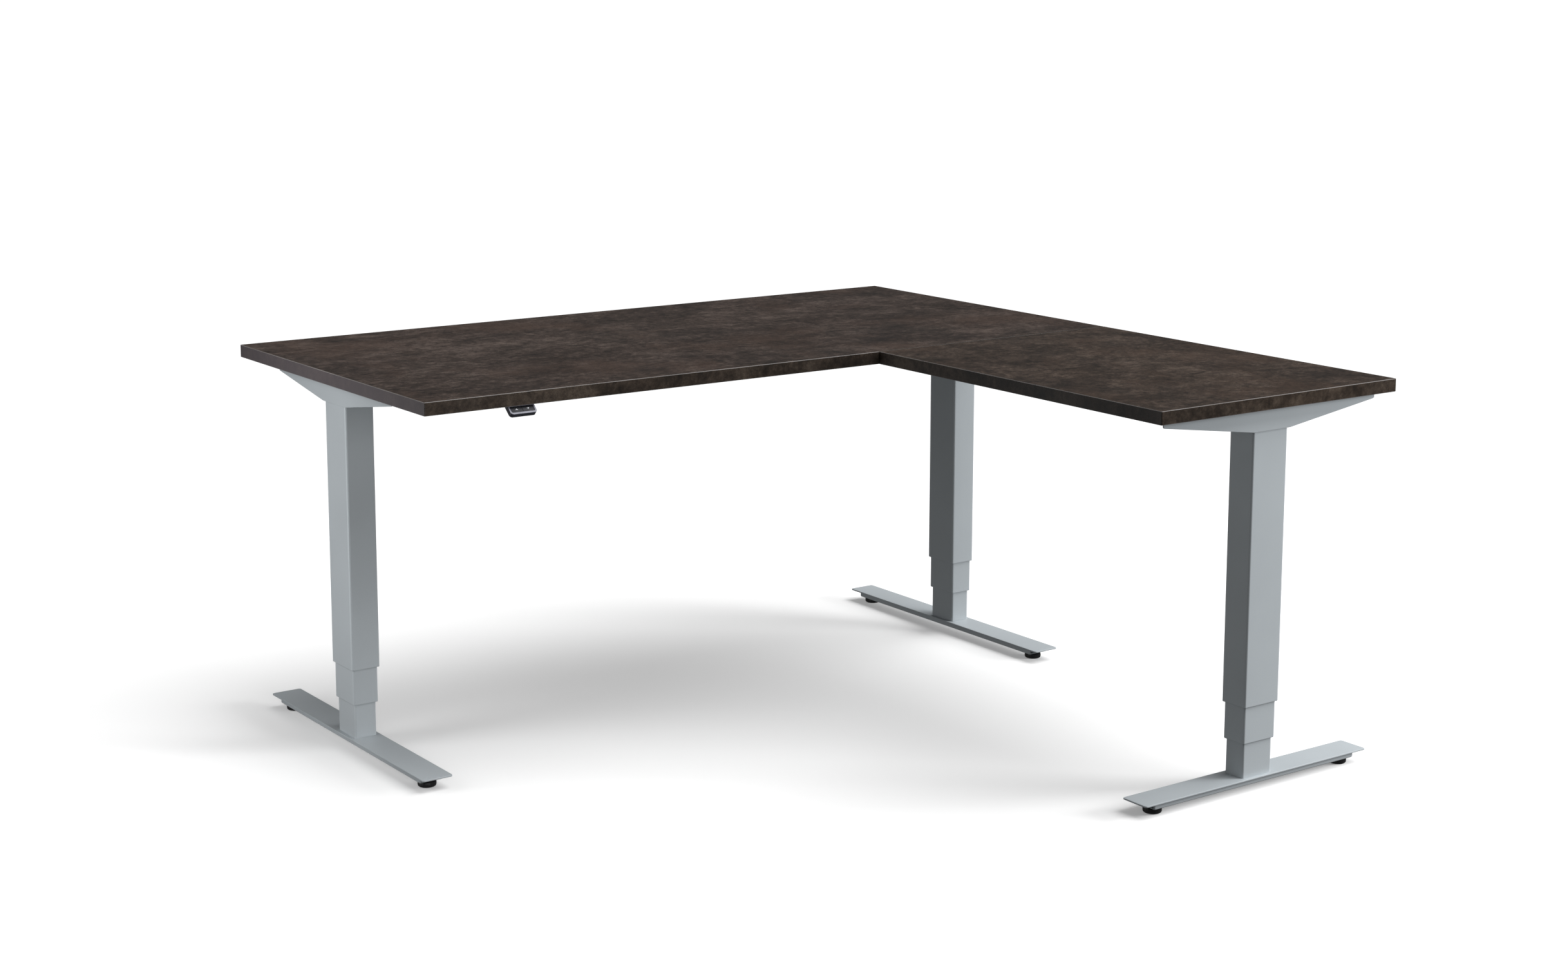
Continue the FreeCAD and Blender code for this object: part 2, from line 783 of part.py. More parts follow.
def crossbeams():
    """Two pairs of telescopic rails: along the main top, and from there under the return top."""
    height = f"{DECK} - rail_tall / 2"
    main_pair = [f"main_leg_y + {sign} * rail_spread" for sign in (-1, 1)]
    return_pair = [f"{RETURN_X} + {sign} * rail_spread" for sign in (-1, 1)]
    bracket_face = "(outer_wide / 2 + bracket_gap + fixing_thick)"
    arm = "rail_wall + arm_play"
    bracket_x = f"(main_width / 2 - side_inset - {bracket_face})"
    front_y = f"({LEGS['right']['y']} + {bracket_face})"
    back_y = f"(main_leg_y - rail_spread - rail_wide / 2 + {arm} - arm_play)"
    middle_y = f"(({front_y} + {back_y}) / 2)"

    sleeves = new_body("rail_sleeves", z=height)
    across = sketch_on(sleeves, "YZ_Plane")
    rail_section(across, main_pair, "0")
    pad(sleeves, across, "main_sleeve_long", midplane=True)
    along = sketch_on(sleeves, "XZ_Plane", f"0 - {middle_y}")
    rail_section(along, return_pair, "0")
    pad(sleeves, along, "return_sleeve_long", midplane=True)

    arms = new_body("rail_arms", z=height)
    main_reach = f"{bracket_x} - main_sleeve_long / 2 + arm_overlap"
    for sign in (-1, 1):
        section = sketch_on(arms, "YZ_Plane", f"{sign} * {bracket_x}")
        rail_section(section, main_pair, arm)
        pad(arms, section, main_reach, reverse=sign > 0)
    return_reach = f"({back_y} - {front_y} - return_sleeve_long) / 2 + arm_overlap"
    for end, backwards in ((front_y, True), (back_y, False)):
        section = sketch_on(arms, "XZ_Plane", f"0 - {end}")
        rail_section(section, return_pair, arm)
        pad(arms, section, return_reach, reverse=backwards)


# ---- control box ----


def control_box():
    """A tray with sockets at its back, hung under the main top, its circuit board and its mains inlet."""
    case = new_body("control_box_case", "box_x", "box_y", f"{DECK} - box_tall")
    base = sketch_on(case, "XY_Plane")
    rectangle(base, "box_wide", "box_long")
    pad(case, base, "box_tall")
    round_edges(case, "box_round", lambda edge: vertical(edge) or edge.BoundBox.ZMax < 0.01)
    ears = sketch_on(case, "XY_Plane", "box_tall - fixing_thick")
    rectangle(ears, "box_wide + 2 * ear_long", "box_long - 4 * box_round")
    pad(case, ears, "fixing_thick")
    inside = sketch_on(case, "XY_Plane", "box_wall")
    rectangle(inside, "box_wide - 2 * box_wall", "box_long - 2 * box_wall")
    pocket(case, inside, "box_tall", reverse=True)
    screws = sketch_on(case, "XY_Plane", "box_tall - fixing_thick")
    for sign_x in (-1, 1):
        for sign_y in (-1, 1):
            x = f"{sign_x} * (box_wide + ear_long) / 2"
            circle(screws, "screw_hole", x, f"{sign_y} * box_long / 3")
    pocket(case, screws, "fixing_thick", reverse=True)
    back = "0 - box_long / 2"
    ports = [f"first_port + {step} * port_spacing" for step in range(4)]
    shells = sketch_on(case, "XZ_Plane", back)
    for x in ports:
        rectangle(shells, "port_wide + 2 * port_shell", "port_tall + 2 * port_shell", x, "port_height")
    pad(case, shells, "port_deep + port_shell")
    sockets = sketch_on(case, "XZ_Plane", back)
    for x in ports:
        rectangle(sockets, "port_wide", "port_tall", x, "port_height")
    pocket(case, sockets, "port_deep", reverse=True)
    posts = sketch_on(case, "XY_Plane", "box_wall")
    for sign in (-1, 1):
        circle(posts, "post_radius", f"{sign} * (box_wide / 2 - 4 * post_radius)", "0 - box_long / 4")
    pad(case, posts, "card_height - box_wall")
    window = sketch_on(case, "XZ_Plane", back)
    rectangle(window, "inlet_wide", "inlet_tall", "inlet_x", "port_height")
    pocket(case, window, "box_wall", reverse=True)

    inlet_z = f"{DECK} - box_tall + port_height"
    inlet = new_body("mains_inlet", "box_x + inlet_x", "box_y + box_long / 2", inlet_z)
    shell = sketch_on(inlet, "XZ_Plane")
    rectangle(shell, "inlet_wide", "inlet_tall")
    pad(inlet, shell, "inlet_deep")
    rim = sketch_on(inlet, "XZ_Plane")
    rectangle(rim, "inlet_wide + 2 * inlet_rim", "inlet_tall + 2 * inlet_rim")
    pad(inlet, rim, "inlet_rim", reverse=True)
    opening = sketch_on(inlet, "XZ_Plane", "0 - inlet_rim")
    rectangle(opening, "inlet_wide - 2 * inlet_rim", "inlet_tall - 2 * inlet_rim")
    pocket(inlet, opening, "inlet_recess + inlet_rim", reverse=True)
    pins = sketch_on(inlet, "XZ_Plane", "inlet_recess")
    for x, z in (("0 - pin_spacing", "0 - 2"), ("0", "2"), ("pin_spacing", "0 - 2")):
        rectangle(pins, "pin_wide", "pin_tall", x, z)
    pad(inlet, pins, "inlet_recess", reverse=True)

    card = new_body("control_board", "box_x", "box_y", f"{DECK} - box_tall + card_height")
    plate = sketch_on(card, "XY_Plane")
    card_long = "box_long - 2 * box_wall - port_deep - inlet_deep - board_inset"
    card_y = "0 - (port_deep + inlet_deep) / 2"
    rectangle(plate, "box_wide - 2 * box_wall - 2 * board_inset", card_long, "0", card_y)
    pad(card, plate, "card_thick")
    blocks = sketch_on(card, "XY_Plane", "card_thick")
    for block in ("supply", "relay", "filter"):
        rectangle(blocks, f"{block}_wide", f"{block}_long", f"{block}_x", card_y)
    pad(card, blocks, "block_height")


# ---- handset ----


def on_face(name):
    """An empty body whose XY plane is the handset's sloping face, with X along its lower edge."""
    tilt = size_of("handset_tilt")
    return new_body(name, "handset_x", f"handset_start - {FACE_RUN}", f"{DECK} - {FACE_RISE}", tilt=tilt)


def handset():
    """A wedge with a sloping face, the bezel round that face, and two buttons in its recess."""
    tilt = size_of("handset_tilt")
    down_the_face = Vector(0, sin(radians(tilt)), -cos(radians(tilt)))
    body = new_body("handset_body", "handset_x", "0", DECK)
    bottom_run = f"(handset_start - {FACE_RUN} + handset_thick * sin(handset_tilt))"
    bottom_drop = f"({FACE_RISE} + handset_thick * cos(handset_tilt))"
    flange_start = f"({bottom_run} + ({bottom_drop} - fixing_thick) / tan(handset_tilt))"
    side_view = sketch_on(body, "YZ_Plane")
    outline(
        side_view,
        [
            ("handset_start", "0"),
            (f"handset_start - {FACE_RUN}", f"0 - {FACE_RISE}"),
            (bottom_run, f"0 - {bottom_drop}"),
            (flange_start, "0 - fixing_thick"),
            ("handset_flange_end", "0 - fixing_thick"),
            ("handset_flange_end", "0"),
        ],
    )
    pad(body, side_view, "handset_wide", midplane=True)
    foremost = size_of("handset_thick")
    round_edges(
        body,
        "handset_corner",
        lambda edge: runs_along(edge, down_the_face) and abs(edge.Length - foremost) < 0.01,
    )
    recess = sketch_on(body, "XY_Plane", f"0 - {FACE_RISE}", tilt)
    recess.setExpression("AttachmentOffset.Base.y", sized(f"handset_start - {FACE_RUN}"))
    rectangle(recess, RECESS_WIDE, RECESS_LONG, "0", RECESS_MIDDLE)
    pocket(body, recess, "recess_deep")
    screws = sketch_on(body, "XY_Plane")
    for sign in (-1, 1):
        circle(screws, "screw_hole", f"{sign} * handset_screw_x", "handset_screw_y")
    pocket(body, screws, "fixing_thick")

    bezel = on_face("handset_bezel")
    frame = sketch_on(bezel, "XY_Plane")
    rectangle(frame, "handset_wide", BEZEL_LONG, "0", f"{BEZEL_LONG} / 2")
    pad(bezel, frame, "bezel_thick")
    round_edges(bezel, "handset_corner", lambda edge: vertical(edge) and edge.BoundBox.YMax < 0.01)
    opening = sketch_on(bezel, "XY_Plane")
    rectangle(opening, RECESS_WIDE, RECESS_LONG, "0", RECESS_MIDDLE)
    pocket(bezel, opening, "bezel_thick", reverse=True)
    lower_edge = size_of("bezel_low")
    round_edges(
        bezel,
        "button_corner + button_gap",
        lambda edge: vertical(edge) and abs(edge.BoundBox.YMax - lower_edge) < 0.01,
    )

    button_wide = f"(({RECESS_WIDE} - 3 * button_gap) / 2)"
    for name, sign in (("up_button", -1), ("down_button", 1)):
        button = on_face(name)
        cap = sketch_on(button, "XY_Plane", "button_floor_gap - recess_deep")
        x = f"{sign} * ({button_wide} + button_gap) / 2"
        rectangle(cap, button_wide, f"{RECESS_LONG} - 2 * button_gap", x, RECESS_MIDDLE)
        pad(button, cap, "recess_deep - button_floor_gap + button_rise")
        outermost = size_of("handset_wide") / 2 - size_of("bezel_wide") - size_of("button_gap")
        low = size_of("bezel_low") + size_of("button_gap")

        def outer_low(edge):
            return abs(edge.BoundBox.YMax - low) < 0.01 and abs(sign * edge.BoundBox.XMax - outermost) < 0.01

        round_edges(button, "button_round", lambda edge: vertical(edge) and not outer_low(edge))
        round_edges(button, "button_corner", lambda edge: vertical(edge) and outer_low(edge))


for side, leg in LEGS.items():
    column(side, leg)
    drive(side, leg)
    bracket(side, leg)
    foot(side, leg)
    glides(side, leg)
collar_group("inner_tube_collars", within("middle", "collar_gap"), around("inner"), INNER_COLLAR_BASE)
collar_group("outer_tube_collars", within("outer"), around("middle", "collar_gap"), OUTER_COLLAR_BASE)
lower_nuts()
glide_nuts()
tops()
wood_screws()
crossbeams()
control_box()
handset()
doc.recompute()

for item in doc.Objects:
    if "Invalid" in item.State or "Error" in item.State:
        raise RuntimeError(f"{item.Name} is in the state {item.State}")
for node in nodes:
    if node.Shape.isNull() or not node.Shape.isValid():
        raise RuntimeError(f"{node.Label} has no valid shape")
os.makedirs("parts", exist_ok=True)
for node in nodes:
    node.Shape.exportStep(f"parts/{node.Label}.step")
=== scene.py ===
import json
import math

import bmesh
import bpy
from mathutils import Matrix, Vector

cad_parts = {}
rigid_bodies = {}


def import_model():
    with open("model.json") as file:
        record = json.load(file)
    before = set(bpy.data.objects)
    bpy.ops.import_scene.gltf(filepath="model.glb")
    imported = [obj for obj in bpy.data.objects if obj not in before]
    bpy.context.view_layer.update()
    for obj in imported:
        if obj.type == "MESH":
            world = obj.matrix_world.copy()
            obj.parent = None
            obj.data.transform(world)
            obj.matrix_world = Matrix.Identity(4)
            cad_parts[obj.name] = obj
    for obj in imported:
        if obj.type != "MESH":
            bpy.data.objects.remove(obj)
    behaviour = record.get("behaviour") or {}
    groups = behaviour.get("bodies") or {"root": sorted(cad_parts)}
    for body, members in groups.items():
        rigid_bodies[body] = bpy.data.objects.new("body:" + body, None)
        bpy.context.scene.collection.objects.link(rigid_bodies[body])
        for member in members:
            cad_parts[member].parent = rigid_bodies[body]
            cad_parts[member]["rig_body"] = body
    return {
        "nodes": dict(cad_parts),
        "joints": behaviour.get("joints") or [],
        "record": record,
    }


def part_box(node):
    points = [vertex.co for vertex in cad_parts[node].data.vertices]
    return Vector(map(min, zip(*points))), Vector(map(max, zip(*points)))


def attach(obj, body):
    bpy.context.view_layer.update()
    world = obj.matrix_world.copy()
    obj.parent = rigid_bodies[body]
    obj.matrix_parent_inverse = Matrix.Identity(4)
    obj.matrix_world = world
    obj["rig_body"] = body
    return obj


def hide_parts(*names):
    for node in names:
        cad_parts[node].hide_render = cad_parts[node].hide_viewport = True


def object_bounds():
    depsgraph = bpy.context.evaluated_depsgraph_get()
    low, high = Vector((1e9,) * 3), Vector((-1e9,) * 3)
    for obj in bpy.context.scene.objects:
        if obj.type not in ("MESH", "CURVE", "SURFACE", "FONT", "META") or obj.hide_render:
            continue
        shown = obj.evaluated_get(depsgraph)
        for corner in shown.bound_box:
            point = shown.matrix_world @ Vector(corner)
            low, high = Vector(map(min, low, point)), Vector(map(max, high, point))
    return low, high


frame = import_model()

cad_low, cad_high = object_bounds()
SIDES = ("left", "back", "right")
BOARD_THICK = 0.002
SCREW_HEAD_TALL = 0.003
HANDSET_TILT = math.radians(41)
SEAM_START = 0.2
WHITE = (1, 1, 1, 1)


# ---- materials ----


class Shade:
    """A material built from nodes round one Principled shader."""

    def __init__(self, name, **values):
        self.material = bpy.data.materials.new(name)
        self.material.use_nodes = True
        self.tree = self.material.node_tree
        self.shader = self.tree.nodes["Principled BSDF"]
        for key, value in values.items():
            self.shader.inputs[key.replace("_", " ").title().replace("Ior", "IOR")].default_value = value
        self.place = self.node("ShaderNodeTexCoord").outputs["Object"]

    def node(self, kind, inputs=(), **settings):
        """One node with its settings, and its inputs linked or set."""
        made = self.tree.nodes.new(kind)
        for key, value in settings.items():
            setattr(made, key, value)
        for key, value in dict(inputs).items():
            if isinstance(value, bpy.types.NodeSocket):
                self.tree.links.new(value, made.inputs[key])
            else:
                made.inputs[key].default_value = value
        return made

    def stretched(self, scale, turn=(0, 0, 0)):
        """The object's coordinates, scaled and turned."""
        inputs = {"Vector": self.place, "Scale": scale, "Rotation": turn}
        return self.node("ShaderNodeMapping", inputs).outputs["Vector"]

    def noise(self, scale, detail=4, rough=0.55, warp=0.0, at=None):
        """Cloud noise from 0 to 1."""
        inputs = {"Vector": at or self.place, "Scale": scale, "Detail": detail}
        inputs |= {"Roughness": rough, "Distortion": warp}
        return self.node("ShaderNodeTexNoise", inputs).outputs["Fac"]

    def cells(self, scale):
        """Distance to the nearest of scattered points."""
        inputs = {"Vector": self.place, "Scale": scale}
        return self.node("ShaderNodeTexVoronoi", inputs).outputs["Distance"]

    def spread(self, value, low, high, to_low=0.0, to_high=1.0):
        """Maps a range of values to another and keeps them inside it."""
        inputs = {"Value": value, "From Min": low, "From Max": high, "To Min": to_low, "To Max": to_high}
        return self.node("ShaderNodeMapRange", inputs).outputs["Result"]

    def math(self, operation, first, second=0.5):
        """One sum on two values."""
        return self.node("ShaderNodeMath", {0: first, 1: second}, operation=operation).outputs[0]

    def ramp(self, value, stops):
        """Colours along a value."""
        made = self.node("ShaderNodeValToRGB", {"Fac": value})
        points = made.color_ramp.elements
        while len(points) < len(stops):
            points.new(0.5)
        for point, (position, colour) in zip(points, stops):
            point.position = position
            point.color = (*colour, 1)
        return made.outputs["Color"]

    def mix(self, share, first, second):
        """Mixes two colours."""
        made = self.node("ShaderNodeMix", data_type="RGBA")
        for index, value in ((0, share), (6, first), (7, second)):
            if isinstance(value, bpy.types.NodeSocket):
                self.tree.links.new(value, made.inputs[index])
            else:
                made.inputs[index].default_value = value if index == 0 else (*value, 1)
        return made.outputs[2]

    def bump(self, height, strength, distance, normal=None):
        """Bumps from a height, on top of another normal if one is given."""
        inputs = {"Height": height, "Strength": strength, "Distance": distance}
        if normal:
            inputs["Normal"] = normal
        return self.node("ShaderNodeBump", inputs).outputs["Normal"]

    def soft_edges(self, radius):
        """The normal of the surface as if its edges were rounded, and how far it leans there."""
        rounded = self.node("ShaderNodeBevel", {"Radius": radius}, samples=6).outputs["Normal"]
        inputs = {0: rounded, 1: self.surface_normal()}
        agreement = self.node("ShaderNodeVectorMath", inputs, operation="DOT_PRODUCT").outputs["Value"]
        return rounded, self.spread(agreement, 1.0, 0.86)

    def surface_normal(self):
        """The surface's own normal."""
        return self.node("ShaderNodeNewGeometry").outputs["Normal"]

    def use(self, **sockets):
        """Links values to the shader's sockets."""
        for key, value in sockets.items():
            name = key.replace("_", " ").title()
            self.tree.links.new(value, self.shader.inputs[name])
        return self.material


def scaled(colour, factor, lift=0.0):
    """A colour made brighter or darker, and kept at most white."""
    return [min(channel * factor + lift, 1) for channel in colour]


def powder_coat(name, colour, wear_and_sheen_colour):
    """Satin powder coat: fine orange peel, faint cloudiness, paler on edges where the coat is thinner, with
    a highlight painted there too.
    """
    coat = Shade(name, metallic=0.15, roughness=0.5, specular_ior_level=0.35)
    cloud = coat.noise(4.0, 3)
    speck = coat.noise(1400.0, 2, 0.7)
    peel = coat.noise(420.0, 3, 0.5)
    rounded, lean = coat.soft_edges(0.0009)
    base = coat.mix(coat.spread(cloud, 0.3, 0.7), scaled(colour, 0.96), scaled(colour, 1.04))
    flaked = coat.mix(coat.spread(speck, 0.35, 0.75, 0, 0.22), base, scaled(colour, 1.35))
    # paler on the edges: partly a thinner, worn coat, partly a painted highlight
    edge_wear_and_sheen = coat.math("MULTIPLY", lean, coat.spread(coat.noise(60.0, 4), 0.35, 0.7))
    colour_out = coat.mix(coat.math("MULTIPLY", edge_wear_and_sheen, 0.35), flaked, wear_and_sheen_colour)
    rough = coat.spread(coat.noise(9.0, 4), 0.3, 0.7, 0.44, 0.54)
    return coat.use(
        base_color=colour_out,
        roughness=rough,
        normal=coat.bump(peel, 0.06, 0.0004, rounded),
    )


def laminate(name, tint, turn=0.0, arris=0.0, ends=None):
    """Dark oxidised-metal decor: drifting clouds of umber and rust, small dark blots, pores and fine grit.

    tint scales its red, green and blue. arris is how strong the pale highlight painted on the upper and
    lower edges is, and ends is the colour of the paler light painted on the left-hand end faces.
    """
    board = Shade(name, roughness=0.5, specular_ior_level=0.4 if arris else 0.13)
    flat = board.stretched([1.0, 1.25, 1.0], (0, 0, turn))
    drift = board.spread(board.noise(3.3, 4, 0.6, 0.5, flat), 0.30, 0.70)
    patch = board.spread(board.noise(12.0, 8, 0.76, 0.3, flat), 0.33, 0.67)
    mottle = board.spread(board.noise(52.0, 8, 0.80, 0.2, flat), 0.36, 0.64)
    blot = board.noise(120.0, 7, 0.84, 0.2, flat)
    grit = board.noise(480.0, 3, 0.8)
    pore = board.cells(150.0)
    slow_share = board.math("ADD", board.math("MULTIPLY", drift, 0.30), board.math("MULTIPLY", patch, 0.36))
    mood = board.math("ADD", slow_share, board.math("MULTIPLY", mottle, 0.34))

    def tone(*levels):
        return [share * level for share, level in zip(tint, levels)]

    shades = [
        (0.26, tone(0.0125, 0.0083, 0.0058)),
        (0.47, tone(0.0380, 0.0260, 0.0188)),
        (0.60, tone(0.0665, 0.0470, 0.0350)),
        (0.76, tone(0.1080, 0.0795, 0.0600)),
    ]
    slow = board.noise(4.2, 6, 0.65, 0.3, board.stretched([1, 1, 1], (0, 0, 0.7)))
    warm = board.spread(slow, 0.50, 0.66, 0, 0.3 if arris else 0.6)
    rusty = board.mix(warm, board.ramp(mood, shades), tone(0.0600, 0.0360, 0.0235))
    dark_share = board.spread(blot, 0.54, 0.60, 0, 0.3 if arris else 0.78)
    blotted = board.mix(dark_share, rusty, tone(0.0095, 0.0072, 0.0062))
    bright = board.mix(board.spread(blot, 0.42, 0.30, 0, 0.40), blotted, tone(0.1180, 0.0890, 0.0690))
    gritty = board.mix(board.spread(grit, 0.48, 0.62, 0, 0.42), bright, tone(0.0120, 0.0100, 0.0092))
    sparkled = board.mix(board.spread(grit, 0.40, 0.28, 0, 0.35), gritty, tone(0.1000, 0.0830, 0.0740))
    pored = board.mix(board.spread(pore, 0.14, 0.06, 0, 0.6), sparkled, tone(0.006, 0.005, 0.005))
    rough = board.spread(board.noise(6.0, 5, 0.6), 0.3, 0.7, 0.40, 0.55)
    height = board.math("ADD", grit, board.math("MULTIPLY", blot, 0.8))
    if not arris:
        return board.use(base_color=pored, roughness=rough, normal=board.bump(height, 0.14, 0.0002))
    facing = board.node("ShaderNodeSeparateXYZ", {0: board.surface_normal()}).outputs
    leftward = board.spread(facing["X"], -0.75, -0.95)
    at = board.node("ShaderNodeSeparateXYZ", {0: board.place}).outputs
    far_left = board.spread(at["X"], -0.70, -0.79)
    off_seam = board.spread(board.math("ABSOLUTE", at["Y"]), 0.004, 0.006)
    shown = board.math("MAXIMUM", off_seam, board.spread(at["X"], SEAM_START, SEAM_START - 0.002))
    # painted light: the left-hand end faces at the far left end are made paler with the ends colour
    left_end_painted_light = board.mix(board.math("MULTIPLY", board.math("MULTIPLY", leftward, far_left), 0.62), pored, ends)
    # painted highlight: a pale line along the rounded upper and lower edges, patchy in strength and kept
    # off the seam between the boards
    upward = board.math("ABSOLUTE", facing["Z"])
    on_arris = board.math("MULTIPLY", board.spread(upward, 0.12, 0.40), board.spread(upward, 0.995, 0.93))
    on_arris = board.math("MULTIPLY", on_arris, shown)
    patchy = board.spread(board.noise(18.0, 4), 0.25, 0.6, arris * 0.5, arris)
    highlight_share = board.math("MULTIPLY", on_arris, patchy)
    arris_painted_highlight = board.mix(highlight_share, left_end_painted_light, (0.36, 0.34, 0.335))
    return board.use(base_color=arris_painted_highlight, roughness=rough, normal=board.bump(height, 0.12, 0.0002))


def moulded(name, colour, roughness=0.5, grain=700.0, depth=0.12, edge=0.0005, lighter=0.35):
    """Moulded plastic or rubber with a spark-eroded grain, a little paler on its edges: partly wear, partly
    a painted highlight.
    """
    part = Shade(name, roughness=roughness, specular_ior_level=0.45)
    texture = part.noise(grain, 3, 0.6)
    cloud = part.noise(25.0, 4, 0.6)
    rounded, lean = part.soft_edges(edge)
    base = part.mix(part.spread(cloud, 0.3, 0.7), scaled(colour, 0.85), scaled(colour, 1.18, 0.002))
    pale = scaled(colour, 1.5, 0.05)
    # paler on the edges: partly wear, partly a painted highlight
    edge_wear_and_sheen = part.math("MULTIPLY", lean, part.spread(cloud, 0.35, 0.65, 0.2, lighter))
    rough = part.spread(part.noise(60.0, 4), 0.3, 0.7, roughness - 0.07, roughness + 0.08)
    return part.use(
        base_color=part.mix(edge_wear_and_sheen, base, pale),
        roughness=rough,
        normal=part.bump(texture, depth, 0.0002, rounded),
    )


def bright_metal(name, colour, roughness, scale=(1, 1, 60), tint=(0.5, 0.46, 0.36), cloudy=0.25):
    """Machined or plated steel: fine drawn lines and a faint cloudy tint."""
    steel = Shade(name, metallic=1.0, roughness=roughness)
    lines = steel.noise(90.0, 4, 0.7, 0.0, steel.stretched(list(scale)))
    cloud = steel.noise(35.0, 5, 0.6, 0.4)
    rounded, lean = steel.soft_edges(0.0004)
    base = steel.mix(steel.spread(cloud, 0.45, 0.75, 0, cloudy), colour, tint)
    # painted highlight: edges made paler toward a near-white grey
    edge_glint_painted = steel.mix(steel.math("MULTIPLY", lean, 0.5), base, (0.9, 0.9, 0.9))
    rough = steel.spread(lines, 0.3, 0.7, roughness - 0.08, roughness + 0.1)
    return steel.use(base_color=edge_glint_painted, roughness=rough, normal=steel.bump(lines, 0.08, 0.0002, rounded))


def circuit_board():
    """Green solder mask with a faint pattern of tracks, black blocks above it."""
    board = Shade("circuit_board", roughness=0.35)
    inputs = {"Vector": board.place, "Scale": 380.0}
    tracks = board.node("ShaderNodeTexBrick", inputs, offset=0.37).outputs["Fac"]
    height = board.node("ShaderNodeSeparateXYZ", {0: board.place}).outputs["Z"]
    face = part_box("control_board")[0].z + BOARD_THICK
    above = board.spread(height, face - 0.0001, face + 0.0001)
    mask = board.mix(tracks, (0.012, 0.10, 0.045), (0.02, 0.17, 0.07))
    block = board.mix(board.noise(300.0, 3), (0.01, 0.01, 0.011), (0.03, 0.03, 0.033))
    return board.use(base_color=board.mix(above, mask, block), normal=board.bump(tracks, 0.2, 0.0002))


SILVER = (0.455, 0.492, 0.515)
# PALE_METAL is the paler colour of coated edges: partly wear, partly painted highlight
PALE_METAL = (0.62, 0.63, 0.63)
coat = powder_coat("silver_coat", SILVER, PALE_METAL)
rail_coat = powder_coat("rail_coat", (0.40, 0.43, 0.45), PALE_METAL)
main_decor = laminate("main_decor", (1.04, 1.07, 1.19))
return_decor = laminate("return_decor", (1.02, 1.03, 1.06), 1.9)
# edge band: a painted highlight of strength 0.6 on its rounded edges, and the last colour is paler light
# painted on its left-hand end faces
edge_decor = laminate("edge_decor", (0.76, 0.79, 0.79), 0.6, 0.6, (0.125, 0.108, 0.118))
black_plastic = moulded("black_plastic", (0.012, 0.012, 0.013), 0.42, 900.0, 0.18)
collar_plastic = moulded("collar_plastic", (0.05, 0.052, 0.055), 0.4, 600.0, 0.05)
handset_plastic = moulded("handset_plastic", (0.019, 0.0205, 0.031), 0.38, 1500.0, 0.06)
bezel_plastic = moulded("bezel_plastic", (0.185, 0.188, 0.225), 0.32, 1500.0, 0.03)
button_rubber = moulded("button_rubber", (0.011, 0.0115, 0.0155), 0.62, 1800.0, 0.06, lighter=0.12)
mark_print = moulded("mark_print", (0.66, 0.67, 0.70), 0.45, 1500.0, 0.02, 0.0001, 0.1)
box_plastic = moulded("box_plastic", (0.016, 0.016, 0.017), 0.48, 800.0, 0.3)
nut_plastic = moulded("nut_plastic", (0.66, 0.64, 0.58), 0.38, 500.0, 0.05)
motor_coat = moulded("motor_coat", (0.014, 0.014, 0.015), 0.35, 1200.0, 0.08, 0.0006, 0.5)
zinc = bright_metal("zinc_plate", (0.62, 0.62, 0.60), 0.32, (1, 1, 1), (0.55, 0.5, 0.33))
spindle_steel = bright_metal("spindle_steel", (0.50, 0.49, 0.47), 0.28, (1, 1, 40), (0.3, 0.24, 0.15))
cast_metal = bright_metal("cast_metal", (0.52, 0.52, 0.52), 0.5, (1, 1, 1), (0.4, 0.4, 0.4))

SLOT_MATERIALS = {
    "frame_coat": coat,
    "rail_coat": rail_coat,
    "laminate": main_decor,
    "edging": edge_decor,
    "collar_plastic": collar_plastic,
    "gearbox_housing": cast_metal,
    "motor_can": motor_coat,
    "spindle_steel": spindle_steel,
    "nut_plastic": nut_plastic,
    "zinc_steel": zinc,
    "glide_plastic": black_plastic,
    "box_plastic": box_plastic,
    "inlet_plastic": black_plastic,
    "circuit_board": circuit_board(),
    "handset_plastic": handset_plastic,
    "bezel_plastic": bezel_plastic,
    "button_rubber": button_rubber,
}
for entry in frame["record"]["subparts"]:
    node = frame["nodes"][entry["node"]]
    node.data.materials.clear()
    node.data.materials.append(SLOT_MATERIALS[entry["material_slot"]])
frame["nodes"]["return_top"].data.materials[0] = return_decor


# ---- making pieces ----


def piece_from(name, mesh, material, body, slot, *replaced):
    """Puts a finished bmesh into the scene as a piece that rides on a body."""
    data = bpy.data.meshes.new(name)
    bmesh.ops.recalc_face_normals(mesh, faces=mesh.faces)
    mesh.to_mesh(data)
    mesh.free()
    data.materials.append(material)
    data.shade_smooth()
    piece = bpy.data.objects.new(name, data)
    bpy.context.scene.collection.objects.link(piece)
    sharpen = piece.modifiers.new("Flats", "EDGE_SPLIT")
    sharpen.split_angle = math.radians(40)
    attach(piece, body)
    if replaced:
        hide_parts(*replaced)
    return piece


def turned(mesh, profile, frame_at, steps=48, waves=None):
    """Lofts rings of (radius, height) about a matrix's Z axis. waves changes a ring's radius on the way."""
    rings = []
    for index, (radius, height) in enumerate(profile):
        ring = []
        for step in range(steps):
            angle = 2 * math.pi * step / steps
            reach = radius * (waves(index, angle) if waves else 1)
            point = Vector((reach * math.cos(angle), reach * math.sin(angle), height))
            ring.append(mesh.verts.new(frame_at @ point))
        rings.append(ring)
    for lower, upper in zip(rings, rings[1:]):
        for step in range(steps):
            following = (step + 1) % steps
            mesh.faces.new((lower[step], lower[following], upper[following], upper[step]))
    mesh.faces.new(rings[0][::-1])
    mesh.faces.new(rings[-1])


def threaded(low, high, root, crest, pitch):
    """A profile of thread ridges between two heights."""
    profile = []
    count = int((high - low) / pitch)
    for turn in range(count):
        base = low + turn * pitch
        profile += [(root, base), (crest, base + 0.4 * pitch)]
        profile += [(crest, base + 0.6 * pitch), (root, base + 0.98 * pitch)]
    return profile


